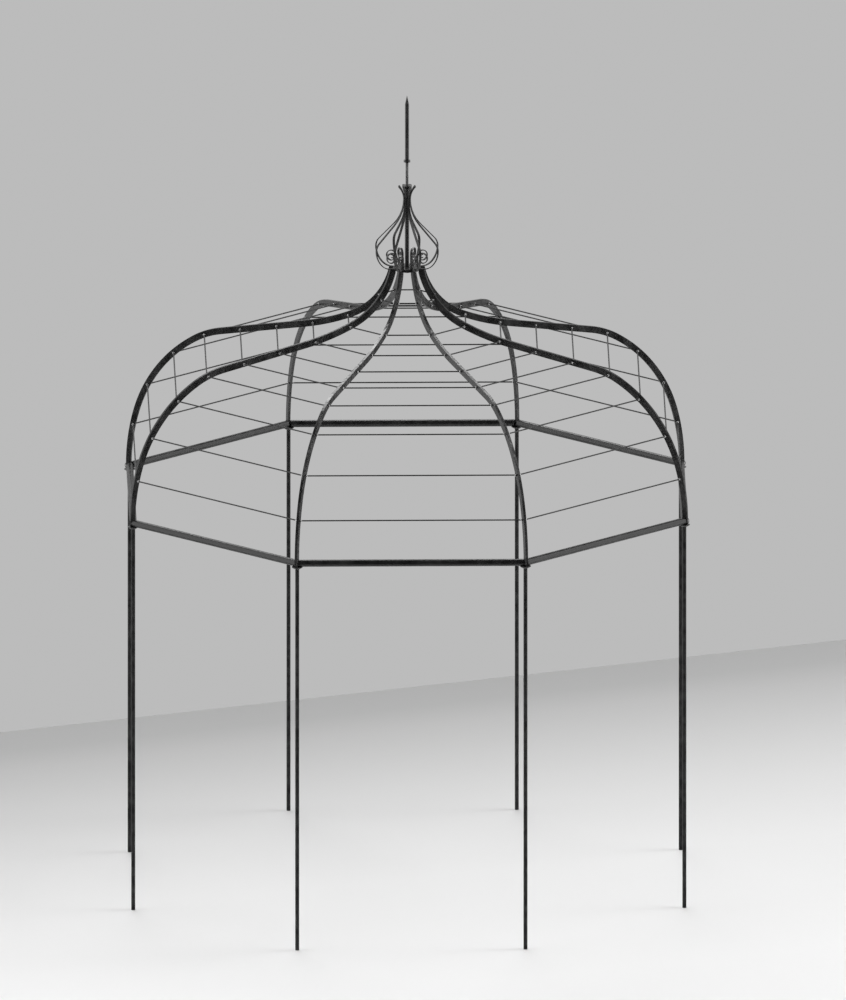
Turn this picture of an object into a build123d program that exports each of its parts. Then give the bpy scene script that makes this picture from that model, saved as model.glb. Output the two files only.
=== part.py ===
from build123d import *
from math import ceil, cos, degrees, radians, sin, tan
import os

# Eight-sided garden pavilion of round iron bars with an ogee roof of ribs and wires.
# Millimetres, +Z up, standing on z = 0 with its axis on the Z axis, one flat side facing -Y.

# Plan
sides = 8
first_post_angle = 22.5
post_circle_radius = 1500

# Posts and eave ring
post_diameter = 20
post_height = 1980
post_cap_diameter = 54
post_cap_foot_diameter = 25
post_cap_flare_height = 9
post_cap_rim_height = 3
post_cap_facets = 16
eave_diameter = 36

# Roof ribs: flat bars on edge, bent in one plane from the eave to the crown
rib_width = 14
rib_eave_depth = 25
rib_roof_depth = 33
rib_outset = 5
leg_radius, leg_heading = 1027, 16.2
flank_radius, flank_heading = 700, 59.5
shoulder_radius, roof_heading = 424, 79.7
saddle_radius, saddle_heading = 1185, 66.8
neck_radius, neck_heading = 380, 12.8
crown_radius = 77.4

# Wire hoops, stepped along the ribs from the eave, with the top one measured from the rib heads
wire_diameter = 6
wire_facets = 6
first_hoop_run = 218
lower_hoop_run = 229
lower_hoops = 3
upper_hoop_run = 200
upper_hoops = 5
top_hoop_drop = 168

# Crown hub: an eight-sided cup with a flat for each rib's head, sized across its flats
hub_flat_distance = 65
hub_foot_flat_distance = 44
hub_rim_height = 14
hub_flare_height = 7
hub_top_rise = 6

# Onion cage of flat bars bent the easy way, with a foot on each rib's head.
# Their bends are made in short facets of a few degrees each, which keeps the repeated bars light.
flat_bar_width = 12
flat_bar_thickness = 4
flat_bar_gap = 0.4
cage_widest_radius = 168
cage_foot_length = 15
cage_base_radius, cage_base_heading = 69, 45
cage_bowl_radius = 110
cage_shoulder_radius, cage_lean = 59, 43.7
cage_throat_radius = 188
cage_flare_radius, cage_flare_turn = 92, 46
cage_facet_turn = 9

# Scrolls inside the cage, of the same flat bar
scroll_radius = 26
scroll_stem_radius = 58
scroll_stem_height = 52
scroll_turn = 262
scroll_curl_radius = 15
scroll_curl_turn = 190
scroll_facet_turn = 18

# Mast and spear finial
mast_diameter = 22
mast_height = 345
neck_rod_diameter = 15
neck_rod_height = 199
ring_diameter = 48
ring_thickness = 12
ring_rise = 66
ring_clearance = 0.2
collar_diameter = 33
collar_thickness = 10
spear_diameter = 20.5
spear_shaft_height = 290
spear_point_height = 46

post_angles = [first_post_angle + number * 360 / sides for number in range(sides)]
half_bay = 180 / sides
first_bay_angle = first_post_angle + half_bay
post_cap_level = post_height + post_cap_flare_height + post_cap_rim_height
eave_level = post_cap_level + eave_diameter / 2

os.makedirs("parts", exist_ok=True)


def save(sub_part, name):
    sub_part.part.label = name
    export_step(sub_part.part, f"parts/{name}.step")


def radial_plane(angle):
    """Upright plane through the axis: local x runs outward, local y up from the eave ring's centre."""
    outward = (cos(radians(angle)), sin(radians(angle)), 0)
    across = (sin(radians(angle)), -cos(radians(angle)), 0)
    return Plane(origin=(0, 0, eave_level), x_dir=outward, z_dir=across)


def inward_reach(radius, heading, next_heading):
    """How far a bend moves inward while its heading from the vertical changes."""
    return radius * abs(cos(radians(heading)) - cos(radians(next_heading)))


rib_radius = post_circle_radius + rib_outset
bends_reach = (
    inward_reach(leg_radius, 0, leg_heading)
    + inward_reach(flank_radius, leg_heading, flank_heading)
    + inward_reach(shoulder_radius, flank_heading, roof_heading)
    + inward_reach(saddle_radius, roof_heading, saddle_heading)
    + inward_reach(neck_radius, saddle_heading, neck_heading)
)
roof_run = (rib_radius - crown_radius - bends_reach) / sin(radians(roof_heading))

with BuildLine() as rib_centreline:
    foot = Line((rib_radius, -eave_diameter / 2), (rib_radius, 0))
    leg = JernArc(foot @ 1, foot % 1, leg_radius, leg_heading)
    flank = JernArc(leg @ 1, leg % 1, flank_radius, flank_heading - leg_heading)
    shoulder = JernArc(flank @ 1, flank % 1, shoulder_radius, roof_heading - flank_heading)
    slope = Line(shoulder @ 1, shoulder @ 1 + (shoulder % 1) * roof_run)
    saddle = JernArc(slope @ 1, slope % 1, saddle_radius, saddle_heading - roof_heading)
    neck = JernArc(saddle @ 1, saddle % 1, neck_radius, neck_heading - saddle_heading)
    head = Line(neck @ 1, neck @ 1 + (neck % 1) * rib_roof_depth)

crown_rise = (neck @ 1).Y
crown_level = eave_level + crown_rise


def normal_to(span, place):
    tangent = span % place
    return Vector(-tangent.Y, tangent.X)


def rib_edge(side):
    """The rib's outer (side -1) or inner (side 1) edge, half its depth away from the centreline."""
    depths = [rib_eave_depth, rib_eave_depth, (rib_eave_depth + rib_roof_depth) / 2]
    depths += [rib_roof_depth] * 6
    spans = (foot, leg, flank, shoulder, slope, saddle, neck, head)

    def beside(span, place, depth):
        return span @ place + normal_to(span, place) * side * depth / 2

    for span, depth, next_depth in zip(spans, depths, depths[1:]):
        start = beside(span, 0, depth)
        middle = beside(span, 0.5, (depth + next_depth) / 2)
        end = beside(span, 1, next_depth)
        if span in (foot, slope, head):
            Line(start, end)
        else:
            ThreePointArc(start, middle, end)
    return beside(foot, 0, rib_eave_depth), beside(head, 1, rib_roof_depth)


def make_rib(name, angle):
    with BuildPart() as rib:
        with BuildSketch(radial_plane(angle)):
            with BuildLine():
                outer_foot, outer_top = rib_edge(-1)
                inner_foot, inner_top = rib_edge(1)
                Line(outer_foot, inner_foot)
                Line(outer_top, inner_top)
            make_face()
        extrude(amount=rib_width / 2, both=True)
        split(bisect_by=Plane.XY.offset(crown_level), keep=Keep.BOTTOM)
        outward = radial_plane(angle).x_dir
        split(bisect_by=Plane(origin=outward * hub_flat_distance, z_dir=outward), keep=Keep.TOP)
    save(rib, name)


def make_bar_between_ribs(angle, radius, level, diameter, facets=0):
    """A bar along one flat side, round or with a few facets, cut off at the ribs' side faces."""
    middle = Vector(radius * cos(radians(half_bay)), 0, level).rotate(Axis.Z, angle)
    along = Vector(0, 1, 0).rotate(Axis.Z, angle)
    reach = radius * sin(radians(half_bay)) + diameter
    with BuildPart() as bar:
        with BuildSketch(Plane(origin=middle, z_dir=along)):
            if facets:
                RegularPolygon(diameter / 2, facets, major_radius=False)
            else:
                Circle(diameter / 2)
        extrude(amount=reach, both=True)
        for turn, towards_bay in ((-half_bay, -1), (half_bay, 1)):
            inward = radial_plane(angle + turn).z_dir * towards_bay
            split(bisect_by=Plane(origin=inward * rib_width / 2, z_dir=inward), keep=Keep.TOP)
    return bar


def make_post(name, angle):
    foot_place = Vector(post_circle_radius, 0, 0).rotate(Axis.Z, angle)
    with BuildPart() as post:
        with BuildSketch(Plane(origin=foot_place)):
            Circle(post_diameter / 2)
        extrude(amount=post_height)
    save(post, name)


for number, angle in enumerate(post_angles, 1):
    make_post(f"post_{number}", angle)
    make_rib(f"rib_{number}", angle)
    eave_rail = make_bar_between_ribs(angle + half_bay, post_circle_radius, eave_level, eave_diameter)
    save(eave_rail, f"eave_rail_{number}")


def make_flared_cup(foot_level, foot_flat_distance, flare_height, rim_flat_distance, rim_height, facets):
    """A cup of flat facets: a small foot, a flare that widens upward and an upright rim."""
    with BuildPart() as cup:
        with BuildSketch(Plane.XY.offset(foot_level)):
            RegularPolygon(rim_flat_distance, facets, major_radius=False)
        extrude(amount=flare_height + rim_height)
        for facet in range(facets):
            outward = Vector(1, 0, 0).rotate(Axis.Z, (facet + 0.5) * 360 / facets)
            foot_edge = outward * foot_flat_distance + Vector(0, 0, foot_level)
            away = outward * flare_height - Vector(0, 0, rim_flat_distance - foot_flat_distance)
            split(bisect_by=Plane(origin=foot_edge, z_dir=away), keep=Keep.BOTTOM)
    return cup


post_cap = make_flared_cup(
    post_height,
    post_cap_foot_diameter / 2,
    post_cap_flare_height,
    post_cap_diameter / 2,
    post_cap_rim_height,
    post_cap_facets,
)
with BuildPart() as post_head_plates:
    with PolarLocations(post_circle_radius, sides, start_angle=first_post_angle):
        add(post_cap.part)
save(post_head_plates, "post_head_plates")

rib_line = Wire([leg, flank, shoulder, slope, saddle, neck])
hoop_stations = [first_hoop_run + step * lower_hoop_run for step in range(lower_hoops)]
hoop_stations += [hoop_stations[-1] + step * upper_hoop_run for step in range(1, upper_hoops + 1)]
hoop_stations.append(rib_line.length - top_hoop_drop)
for number, station in enumerate(hoop_stations, 1):
    place = rib_line.position_at(station, position_mode=PositionMode.LENGTH)
    hoop_level = eave_level + place.Y
    wire = make_bar_between_ribs(first_bay_angle, place.X, hoop_level, wire_diameter, wire_facets)
    with BuildPart() as wire_hoop:
        with PolarLocations(0, sides):
            add(wire.part)
    save(wire_hoop, f"wire_hoop_{number}")

hub_top_level = crown_level + hub_top_rise
crown_hub = make_flared_cup(
    hub_top_level - hub_rim_height - hub_flare_height,
    hub_foot_flat_distance,
    hub_flare_height,
    hub_flat_distance,
    hub_rim_height,
    sides,
)
save(crown_hub, "crown_hub")


def bent_bar_side(spans, offset, facet_turn):
    """Points along one broad face of a bent flat bar, with each bend in facets of equal turn."""
    points = [spans[0] @ 0 + normal_to(spans[0], 0) * offset]
    for span in spans:
        is_bend = span.geom_type == GeomType.CIRCLE
        facets = ceil(degrees(span.length / span.radius) / facet_turn) if is_bend else 1
        for facet in range(1, facets + 1):
            place = facet / facets
            points.append(span @ place + normal_to(span, place) * offset)
    return points


def make_bent_bars(spans, facet_turn):
    """Flat bars bent along the same line in each of the radial planes of the posts."""
    with BuildPart() as bent_bar:
        with BuildSketch(radial_plane(first_post_angle)):
            with BuildLine():
                near_side = bent_bar_side(spans, flat_bar_thickness / 2, facet_turn)
                far_side = bent_bar_side(spans, -flat_bar_thickness / 2, facet_turn)
                Polyline(*near_side, *reversed(far_side), close=True)
            make_face()
        extrude(amount=flat_bar_width / 2, both=True)
    with BuildPart() as bars:
        with PolarLocations(0, sides):
            add(bent_bar.part)
    return bars


# At the throat the eight flat bars stand side by side, a small gap apart
cage_throat_face = (flat_bar_width + flat_bar_gap) / 2 / tan(radians(half_bay))
cage_throat_centre = cage_throat_face + flat_bar_thickness / 2
cage_reach = (
    cage_widest_radius
    - cage_throat_centre
    - inward_reach(cage_shoulder_radius, 0, cage_lean)
    - inward_reach(cage_throat_radius, cage_lean, 0)
)
cage_straight = cage_reach / sin(radians(cage_lean))
cage_foot_reach = (
    cage_widest_radius
    - inward_reach(cage_bowl_radius, 0, cage_base_heading)
    - cage_base_radius * sin(radians(cage_base_heading))
)

with BuildLine():
    foot_end = Vector(cage_foot_reach, crown_rise + flat_bar_thickness / 2)
    cage_foot = Line(foot_end - Vector(cage_foot_length, 0), foot_end)
    base = JernArc(cage_foot @ 1, cage_foot % 1, cage_base_radius, cage_base_heading)
    bowl = JernArc(base @ 1, base % 1, cage_bowl_radius, 90 - cage_base_heading)
    cage_shoulder = JernArc(bowl @ 1, bowl % 1, cage_shoulder_radius, cage_lean)
    straight = Line(cage_shoulder @ 1, cage_shoulder @ 1 + (cage_shoulder % 1) * cage_straight)
    throat = JernArc(straight @ 1, straight % 1, cage_throat_radius, -cage_lean)
    flare = JernArc(throat @ 1, throat % 1, cage_flare_radius, -cage_flare_turn)
cage_spans = [cage_foot, base, bowl, cage_shoulder, straight, throat, flare]
save(make_bent_bars(cage_spans, cage_facet_turn), "cage_bars")

with BuildLine():
    stem_foot = Vector(scroll_stem_radius, crown_rise + hub_top_rise)
    stem = Line(stem_foot, stem_foot + Vector(0, scroll_stem_height))
    loop = JernArc(stem @ 1, stem % 1, scroll_radius, -scroll_turn)
    curl = JernArc(loop @ 1, loop % 1, scroll_curl_radius, -scroll_curl_turn)
save(make_bent_bars([stem, loop, curl], scroll_facet_turn), "scrolls")


def make_round_bar(name, level, diameter, height):
    with BuildPart() as bar:
        with BuildSketch(Plane.XY.offset(level)):
            Circle(diameter / 2)
        extrude(amount=height)
    save(bar, name)


mast_top_level = hub_top_level + mast_height
collar_level = mast_top_level + neck_rod_height
make_round_bar("mast", hub_top_level, mast_diameter, mast_height)
make_round_bar("finial_neck", mast_top_level, neck_rod_diameter, neck_rod_height)
make_round_bar("finial_collar", collar_level, collar_diameter, collar_thickness)

with BuildPart() as finial_ring:
    with BuildSketch(Plane.XY.offset(mast_top_level + ring_rise)):
        Circle(ring_diameter / 2)
        Circle(neck_rod_diameter / 2 + ring_clearance, mode=Mode.SUBTRACT)
    extrude(amount=ring_thickness)
save(finial_ring, "finial_ring")

spear_level = collar_level + collar_thickness
with BuildPart() as finial_spear:
    with BuildSketch(Plane.XZ):
        with BuildLine():
            Polyline(
                (0, spear_level),
                (spear_diameter / 2, spear_level),
                (spear_diameter / 2, spear_level + spear_shaft_height),
                (0, spear_level + spear_shaft_height + spear_point_height),
                close=True,
            )
        make_face()
    revolve(axis=Axis.Z)
save(finial_spear, "finial_spear")
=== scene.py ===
from math import cos, pi, radians, sin

import bmesh
import bpy
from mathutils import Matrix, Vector


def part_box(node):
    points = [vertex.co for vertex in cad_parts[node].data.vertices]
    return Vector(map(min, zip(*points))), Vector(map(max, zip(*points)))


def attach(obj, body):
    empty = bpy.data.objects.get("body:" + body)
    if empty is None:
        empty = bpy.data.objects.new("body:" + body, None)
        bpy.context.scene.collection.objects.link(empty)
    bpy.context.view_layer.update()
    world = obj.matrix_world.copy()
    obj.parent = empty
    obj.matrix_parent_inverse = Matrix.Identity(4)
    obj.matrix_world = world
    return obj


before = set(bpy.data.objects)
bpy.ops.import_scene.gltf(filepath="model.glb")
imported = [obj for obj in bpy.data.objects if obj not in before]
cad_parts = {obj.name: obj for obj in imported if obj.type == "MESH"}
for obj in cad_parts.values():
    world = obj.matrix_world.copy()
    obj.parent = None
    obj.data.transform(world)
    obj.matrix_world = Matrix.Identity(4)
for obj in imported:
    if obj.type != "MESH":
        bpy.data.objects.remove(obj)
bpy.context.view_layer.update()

# Photograph frame, in pixels
IMAGE_WIDTH, IMAGE_HEIGHT = 846, 1000
RING_CENTRE_X, RING_CENTRE_Y = 407.0, 493.0

# Parallel view
METRES_PER_PIXEL = 0.0050285
CAMERA_TURN = radians(-0.903)
CAMERA_RISE = radians(14.68)
CAMERA_DISTANCE = 12.0

# Plan of the pavilion, and sizes read from the frame
SIDES = 8
HALF_BAY = 180 / SIDES
POST_ANGLES = [HALF_BAY + side * 360 / SIDES for side in range(SIDES)]
HOOPS = 9
POST_CIRCLE = (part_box("post_1")[0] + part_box("post_1")[1]).to_2d().length / 2
RAIL_LOW, RAIL_HIGH = (corner.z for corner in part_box("eave_rail_2"))
RAIL_RADIUS = (RAIL_HIGH - RAIL_LOW) / 2
EAVE_LEVEL = (RAIL_LOW + RAIL_HIGH) / 2

# Wire ferrules, in metres; each ring's place along the sleeve and its width are shares of these
FERRULE_RADIUS = 0.0055
FERRULE_LENGTH = 0.009
FERRULE_RINGS = ((-1.0, 0.62), (-0.72, 1.0), (0.72, 1.0), (1.0, 0.62))
FERRULE_FACETS = 10

# Weld beads round the rail ends, in metres; ripple and end are shares, and the reach is in degrees
RIB_HALF_WIDTH = 0.007
WELD_RADIUS = 0.0016
WELD_FACETS = 8
WELD_RIPPLE = 0.18
WELD_END = 0.3
WELD_STEPS = 44
WELD_REACH = 110

# Studio light levels
CEILING_LIGHT = 8.4
SIDE_LIGHT = 2.8
ROOM_LIGHT = 0.04
BACKDROP_GREY = 0.502

# Where each light bank starts and is full, as a direction's share along the bank's own axis
CEILING_AIM = (-0.12, 0.66, 0.742)
CEILING_EDGE = (0.94, 0.985)
SIDE_BANK_PLACE = 0.05
SIDE_BANK_EDGE = (0.45, 0.7)
SIDE_BANK_END = (0.6, 0.35)
WALL_SIDE_EDGE = (0.55, 0.8)
WALL_TOP_EDGE = (0.62, 0.5)

# High sun: weak and broad
SUN_LIGHT = 0.5
SUN_SPREAD = radians(12)
SUN_PLACE = (0.75, 0.1, 1.0)

# Backdrop wall: its direction in plan and its distance from the pavilion's axis, in metres
WALL_ANGLE = 112.5
WALL_DISTANCE = 3.497

# Floor sheet in metres, and its painted shade: its grey at shares of the shaded depth, from the wall outwards
FLOOR_REACH = 4.2
FLOOR_HALF_WIDTH = 4.6
SHADED_DEPTH = 6.0
FLOOR_SHADE_GREYS = ((0.0, 0.4), (0.06, 0.42), (0.12, 0.485), (0.24, 0.58), (0.4, 0.7), (0.58, 0.805), (0.92, 0.89))


def radial(angle):
    """Outward direction in plan at an angle in degrees."""
    return Vector((cos(radians(angle)), sin(radians(angle)), 0))


# Shader nodes


def new_material(name):
    material = bpy.data.materials.new(name)
    material.use_nodes = True
    nodes = material.node_tree.nodes
    return material, nodes, material.node_tree.links, nodes["Principled BSDF"]


def add_node(nodes, kind, **settings):
    node = nodes.new(kind)
    for name, value in settings.items():
        setattr(node, name, value)
    return node


def grey(level):
    return (level, level, level)


def object_noise(nodes, links, scale, detail):
    """A noise texture in the object's own coordinates."""
    place = add_node(nodes, "ShaderNodeTexCoord")
    noise = add_node(nodes, "ShaderNodeTexNoise")
    noise.inputs["Scale"].default_value = scale
    noise.inputs["Detail"].default_value = detail
    links.new(place.outputs["Object"], noise.inputs["Vector"])
    return noise


def paint_greys(nodes, links, shader, value, stops):
    """Base colour from a ramp of greys, each at its position."""
    ramp = add_node(nodes, "ShaderNodeValToRGB")
    elements = ramp.color_ramp.elements
    while len(elements) < len(stops):
        elements.new(0.5)
    for element, (position, level) in zip(elements, stops):
        element.position = position
        element.color = (*grey(level), 1)
    links.new(value, ramp.inputs["Fac"])
    links.new(ramp.outputs["Color"], shader.inputs["Base Color"])


def add_relief(nodes, links, shader, height, strength, distance):
    bump = add_node(nodes, "ShaderNodeBump")
    bump.inputs["Strength"].default_value = strength
    bump.inputs["Distance"].default_value = distance
    links.new(height, bump.inputs["Height"])
    links.new(bump.outputs["Normal"], shader.inputs["Normal"])


def share_along(nodes, links, vector, axis):
    """A vector's share along a fixed axis."""
    share = add_node(nodes, "ShaderNodeVectorMath", operation="DOT_PRODUCT")
    share.inputs[1].default_value = tuple(axis)
    links.new(vector, share.inputs[0])
    return share.outputs["Value"]


def maths(nodes, links, operation, *terms):
    """A math node on sockets and plain numbers."""
    node = add_node(nodes, "ShaderNodeMath", operation=operation)
    for socket, term in zip(node.inputs, terms):
        if isinstance(term, float):
            socket.default_value = term
        else:
            links.new(term, socket)
    return node.outputs["Value"]


def lobe(nodes, links, value, edge, strength):
    """A light bank that fades in as a direction's share along one axis crosses the bank's edge."""
    bank = add_node(nodes, "ShaderNodeMapRange", interpolation_type="SMOOTHSTEP")
    bank.inputs["From Min"].default_value = edge[0]
    bank.inputs["From Max"].default_value = edge[1]
    bank.inputs["To Max"].default_value = strength
    links.new(value, bank.inputs["Value"])
    return bank.outputs["Result"]


# Materials


def hammered_iron(name, tone, sheen, roughness, relief_strength, scale=1.0):
    """Near-black satin paint over hammered iron, with soft dents and faint patches."""
    material, nodes, links, shader = new_material(name)
    dents = object_noise(nodes, links, 70 * scale, 2)
    dents.inputs["Roughness"].default_value = 0.55
    patches = object_noise(nodes, links, 24 * scale, 5)
    paint_greys(nodes, links, shader, patches.outputs["Fac"], ((0.35, 0.6 * tone), (0.7, 1.6 * tone)))

    gloss = add_node(nodes, "ShaderNodeMapRange")
    gloss.inputs["From Min"].default_value = 0.3
    gloss.inputs["From Max"].default_value = 0.7
    gloss.inputs["To Min"].default_value = roughness - 0.08
    gloss.inputs["To Max"].default_value = roughness + 0.1
    links.new(patches.outputs["Fac"], gloss.inputs["Value"])
    links.new(gloss.outputs["Result"], shader.inputs["Roughness"])

    add_relief(nodes, links, shader, dents.outputs["Fac"], relief_strength, 0.003)
    shader.inputs["Specular IOR Level"].default_value = sheen
    return material


def drawn_wire():
    """Dark satin paint on drawn wire, with faint streaks."""
    material, nodes, links, shader = new_material("drawn_wire")
    streaks = object_noise(nodes, links, 45, 4)
    paint_greys(nodes, links, shader, streaks.outputs["Fac"], ((0.3, 0.018), (0.7, 0.04)))
    add_relief(nodes, links, shader, streaks.outputs["Fac"], 0.2, 0.001)
    shader.inputs["Roughness"].default_value = 0.45
    shader.inputs["Specular IOR Level"].default_value = 0.25
    return material


def bare_steel(name, dark, light):
    """Dull steel, stained between a dark and a light grey."""
    material, nodes, links, shader = new_material(name)
    stain = object_noise(nodes, links, 90, 4)
    paint_greys(nodes, links, shader, stain.outputs["Fac"], ((0.35, dark), (0.65, light)))
    add_relief(nodes, links, shader, stain.outputs["Fac"], 0.25, 0.001)
    shader.inputs["Metallic"].default_value = 0.2
    shader.inputs["Roughness"].default_value = 0.5
    return material


forged_iron = hammered_iron("forged_iron", 0.018, 0.72, 0.3, 0.8, 0.55)
crown_iron = hammered_iron("crown_iron", 0.03, 0.5, 0.35, 0.15)
ferrule_steel = bare_steel("ferrule_steel", 0.45, 0.7)

# Paint of each CAD node, by the start of its name; the first start that fits counts
NODE_PAINTS = (
    ("wire_hoop", drawn_wire()),
    ("eave_rail", hammered_iron("rail_iron", 0.022, 0.33, 0.33, 0.2, 0.7)),
    ("finial_neck", hammered_iron("neck_iron", 0.12, 0.5, 0.4, 0.1)),
    # Scroll paint: a lighter tone than the forged iron, a painted highlight for the bright scroll tops; its
    # sheen and roughness are the real finish
    ("scrolls", hammered_iron("scroll_iron_painted_highlight", 0.045, 0.9, 0.26, 0.15)),
    ("cage", crown_iron),
    ("crown", crown_iron),
    ("mast", crown_iron),
    ("finial", crown_iron),
    # Caps: steel painted dark grey, a painted shade for the dim underside below the ring; the stain between
    # the two greys is random
    ("post_head_plates", bare_steel("cap_steel_painted_shade", 0.04, 0.09)),
    ("post", hammered_iron("post_iron", 0.035, 0.06, 0.4, 0.3)),
    ("rib", forged_iron),
)

for name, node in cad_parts.items():
    part = node if isinstance(node, bpy.types.Object) else bpy.data.objects[name]
    part.data.materials.clear()
    part.data.materials.append(next(paint for start, paint in NODE_PAINTS if name.startswith(start)))


# Small fittings


def mesh_piece(name, mesh_data, material):
    mesh = bpy.data.meshes.new(name)
    mesh_data.to_mesh(mesh)
    mesh_data.free()
    for face in mesh.polygons:
        face.use_smooth = True
    mesh.materials.append(material)
    piece = bpy.data.objects.new(name, mesh)
    bpy.context.scene.collection.objects.link(piece)
    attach(piece, "root")
    return piece


def skin(mesh_data, loops):
    """Close a row of equal loops of points into one solid skin with flat ends."""
    facets = len(loops[0])
    for low, high in zip(loops, loops[1:]):
        for step in range(facets):
            after = (step + 1) % facets
            mesh_data.faces.new((low[step], low[after], high[after], high[step]))
    mesh_data.faces.new(reversed(loops[0]))
    mesh_data.faces.new(loops[-1])


def add_ferrule(mesh_data, centre, direction):
    """A short rounded sleeve with its axis along the wire."""
    turn = direction.to_track_quat("Z", "Y").to_matrix().to_4x4()
    loops = []
    for along, wide in FERRULE_RINGS:
        loop = []
        for step in range(FERRULE_FACETS):
            angle = 2 * pi * step / FERRULE_FACETS
            offset = Vector((cos(angle) * wide * FERRULE_RADIUS, sin(angle) * wide * FERRULE_RADIUS, 0))
            offset.z = along * FERRULE_LENGTH / 2
            loop.append(mesh_data.verts.new(centre + turn @ offset))
        loops.append(loop)
    skin(mesh_data, loops)


def hoop_corner(name):
    """Radius and height of a wire hoop where it meets the ribs."""
    low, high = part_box(name)
    apothem = high.x - (high.z - low.z) / 2
    return apothem / cos(radians(HALF_BAY)), (low.z + high.z) / 2


def make_ferrules():
    """A sleeve on each wire's end, just clear of the rib's side face."""
    mesh_data = bmesh.new()
    shift = (RIB_HALF_WIDTH + FERRULE_LENGTH / 2) / cos(radians(HALF_BAY))
    for number in range(1, HOOPS + 1):
        radius, level = hoop_corner(f"wire_hoop_{number}")
        for angle in POST_ANGLES:
            corner = radial(angle) * radius + Vector((0, 0, level))
            for turn in (-1, 1):
                along = radial(angle + turn * (90 + HALF_BAY))
                add_ferrule(mesh_data, corner + along * shift, along)
    return mesh_piece("wire_ferrules", mesh_data, ferrule_steel)


def add_bead(mesh_data, spine, across, thickness):
    """A rippled weld bead along a line of points; across is the bead's fixed sideways direction."""
    loops = []
    for number, point in enumerate(spine):
        before = spine[max(number - 1, 0)]
        after = spine[min(number + 1, len(spine) - 1)]
        lift = (after - before).normalized().cross(across)
        is_end = number in (0, len(spine) - 1)
        swell = thickness * (WELD_END if is_end else 1.0 + WELD_RIPPLE * (-1) ** number)
        loop = []
        for step in range(WELD_FACETS):
            angle = 2 * pi * step / WELD_FACETS
            loop.append(mesh_data.verts.new(point + (across * cos(angle) + lift * sin(angle)) * swell))
        loops.append(loop)
    skin(mesh_data, loops)


def make_rail_welds():
    """A bead round the outer part of each rail's end, where it meets the rib's side face."""
    mesh_data = bmesh.new()
    half_bay = radians(HALF_BAY)
    for angle in POST_ANGLES:
        outward = radial(angle)
        for turn in (-1, 1):
            across = radial(angle + turn * 90)
            centre = outward * POST_CIRCLE + across * RIB_HALF_WIDTH + Vector((0, 0, EAVE_LEVEL))
            centre += outward * RIB_HALF_WIDTH * sin(half_bay)
            spine = []
            for step in range(WELD_STEPS + 1):
                around = radians(-WELD_REACH + 2 * WELD_REACH * step / WELD_STEPS)
                reach_out = cos(around) * RAIL_RADIUS / cos(half_bay)
                spine.append(centre + outward * reach_out + Vector((0, 0, sin(around) * RAIL_RADIUS)))
            add_bead(mesh_data, spine, across, WELD_RADIUS)
    return mesh_piece("rail_welds", mesh_data, forged_iron)


make_ferrules()
make_rail_welds()


# Studio


def graded_floor():
    """Pale floor with painted shade, greyer towards the far edge where it meets the backdrop."""
    outward = radial(WALL_ANGLE)
    along = radial(WALL_ANGLE - 90)
    corners = [
        outward * WALL_DISTANCE - along * FLOOR_HALF_WIDTH,
        outward * WALL_DISTANCE + along * FLOOR_HALF_WIDTH,
        -outward * FLOOR_REACH + along * FLOOR_HALF_WIDTH,
        -outward * FLOOR_REACH - along * FLOOR_HALF_WIDTH,
    ]
    mesh = bpy.data.meshes.new("studio_floor")
    mesh.from_pydata([tuple(corner) for corner in corners], [], [(3, 2, 1, 0)])
    floor = bpy.data.objects.new("studio_floor", mesh)
    bpy.context.scene.collection.objects.link(floor)

    material, nodes, links, shader = new_material("studio_floor")
    place = add_node(nodes, "ShaderNodeTexCoord")
    share = add_node(nodes, "ShaderNodeMapRange")
    share.inputs["From Min"].default_value = -WALL_DISTANCE
    share.inputs["From Max"].default_value = SHADED_DEPTH - WALL_DISTANCE
    links.new(share_along(nodes, links, place.outputs["Object"], -outward), share.inputs["Value"])
    # Painted shade: the floor's grey darkens towards the wall
    paint_greys(nodes, links, shader, share.outputs["Result"], FLOOR_SHADE_GREYS)
    shader.inputs["Roughness"].default_value = 0.9
    shader.inputs["Specular IOR Level"].default_value = 0.0
    mesh.materials.append(material)


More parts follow.
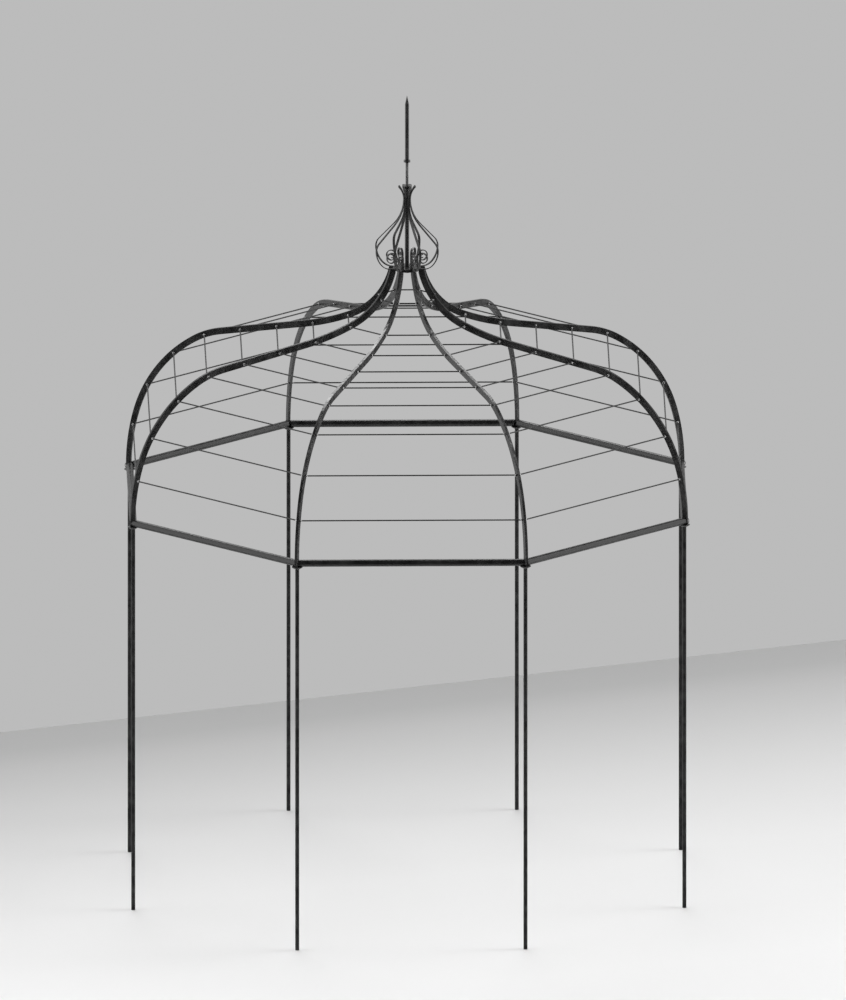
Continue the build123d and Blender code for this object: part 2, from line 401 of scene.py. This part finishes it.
def studio_world():
    """An overhead bank, two side banks and the lit wall in a dim room, and plain grey for the camera."""
    world = bpy.data.worlds.new("studio")
    bpy.context.scene.world = world
    world.use_nodes = True
    nodes, links = world.node_tree.nodes, world.node_tree.links
    nodes.clear()
    direction = add_node(nodes, "ShaderNodeTexCoord").outputs["Generated"]
    split = add_node(nodes, "ShaderNodeSeparateXYZ")
    links.new(direction, split.inputs["Vector"])

    overhead = share_along(nodes, links, direction, CEILING_AIM)
    ceiling = lobe(nodes, links, overhead, CEILING_EDGE, CEILING_LIGHT)

    sideways = maths(nodes, links, "ABSOLUTE", split.outputs["X"])
    past_middle = maths(nodes, links, "SUBTRACT", split.outputs["Y"], SIDE_BANK_PLACE)
    off_middle = maths(nodes, links, "ABSOLUTE", past_middle)
    side_banks = lobe(nodes, links, sideways, SIDE_BANK_EDGE, SIDE_LIGHT)
    beside_object = lobe(nodes, links, off_middle, SIDE_BANK_END, 1.0)
    sides = maths(nodes, links, "MULTIPLY", side_banks, beside_object)

    towards_wall = share_along(nodes, links, direction, radial(WALL_ANGLE))
    wall_breadth = lobe(nodes, links, towards_wall, WALL_SIDE_EDGE, 1.0)
    below_wall_top = lobe(nodes, links, split.outputs["Z"], WALL_TOP_EDGE, 1.0)
    wall = maths(nodes, links, "MULTIPLY", wall_breadth, below_wall_top)
    surroundings = add_node(nodes, "ShaderNodeMapRange")
    surroundings.inputs["To Min"].default_value = ROOM_LIGHT
    surroundings.inputs["To Max"].default_value = BACKDROP_GREY
    links.new(wall, surroundings.inputs["Value"])

    lights = maths(nodes, links, "ADD", ceiling, sides)
    light = add_node(nodes, "ShaderNodeBackground")
    links.new(maths(nodes, links, "ADD", lights, surroundings.outputs["Result"]), light.inputs["Strength"])
    backdrop = add_node(nodes, "ShaderNodeBackground")
    backdrop.inputs["Color"].default_value = (*grey(BACKDROP_GREY), 1)
    backdrop.inputs["Strength"].default_value = 1.0

    path = add_node(nodes, "ShaderNodeLightPath")
    glossy, transmitted = path.outputs["Is Glossy Ray"], path.outputs["Is Transmission Ray"]
    mirrored = maths(nodes, links, "MAXIMUM", glossy, transmitted)
    mirrored_wall = maths(nodes, links, "MULTIPLY", mirrored, wall)
    mix = add_node(nodes, "ShaderNodeMixShader")
    links.new(maths(nodes, links, "MAXIMUM", path.outputs["Is Camera Ray"], mirrored_wall), mix.inputs["Fac"])
    links.new(light.outputs["Background"], mix.inputs[1])
    links.new(backdrop.outputs["Background"], mix.inputs[2])
    out = add_node(nodes, "ShaderNodeOutputWorld")
    links.new(mix.outputs["Shader"], out.inputs["Surface"])


def high_sun():
    """A weak broad sun from high on the right, for short soft shadows to the left of the feet."""
    lamp = bpy.data.lights.new("high_sun", "SUN")
    lamp.energy = SUN_LIGHT
    lamp.angle = SUN_SPREAD
    holder = bpy.data.objects.new("high_sun", lamp)
    holder.rotation_mode = "QUATERNION"
    holder.rotation_quaternion = Vector(SUN_PLACE).to_track_quat("Z", "Y")
    bpy.context.scene.collection.objects.link(holder)


def make_camera():
    """The photograph's parallel view: its turn, its rise and the ring's centre at its pixel."""
    camera = bpy.data.cameras.new("camera")
    camera.type = "ORTHO"
    camera.ortho_scale = IMAGE_HEIGHT * METRES_PER_PIXEL
    holder = bpy.data.objects.new("camera", camera)
    right = Vector((cos(CAMERA_TURN), sin(CAMERA_TURN), 0))
    level_back = Vector((sin(CAMERA_TURN), -cos(CAMERA_TURN), 0))
    back = level_back * cos(CAMERA_RISE) + Vector((0, 0, sin(CAMERA_RISE)))
    up = back.cross(right)
    across = (IMAGE_WIDTH / 2 - RING_CENTRE_X) * METRES_PER_PIXEL
    down = (IMAGE_HEIGHT / 2 - RING_CENTRE_Y) * METRES_PER_PIXEL
    target = Vector((0, 0, EAVE_LEVEL)) + right * across - up * down
    holder.location = target + back * CAMERA_DISTANCE
    holder.rotation_mode = "QUATERNION"
    holder.rotation_quaternion = back.to_track_quat("Z", "Y")
    bpy.context.scene.collection.objects.link(holder)
    bpy.context.scene.camera = holder


graded_floor()
studio_world()
high_sun()
make_camera()
bpy.context.scene.view_settings.view_transform = "Standard"
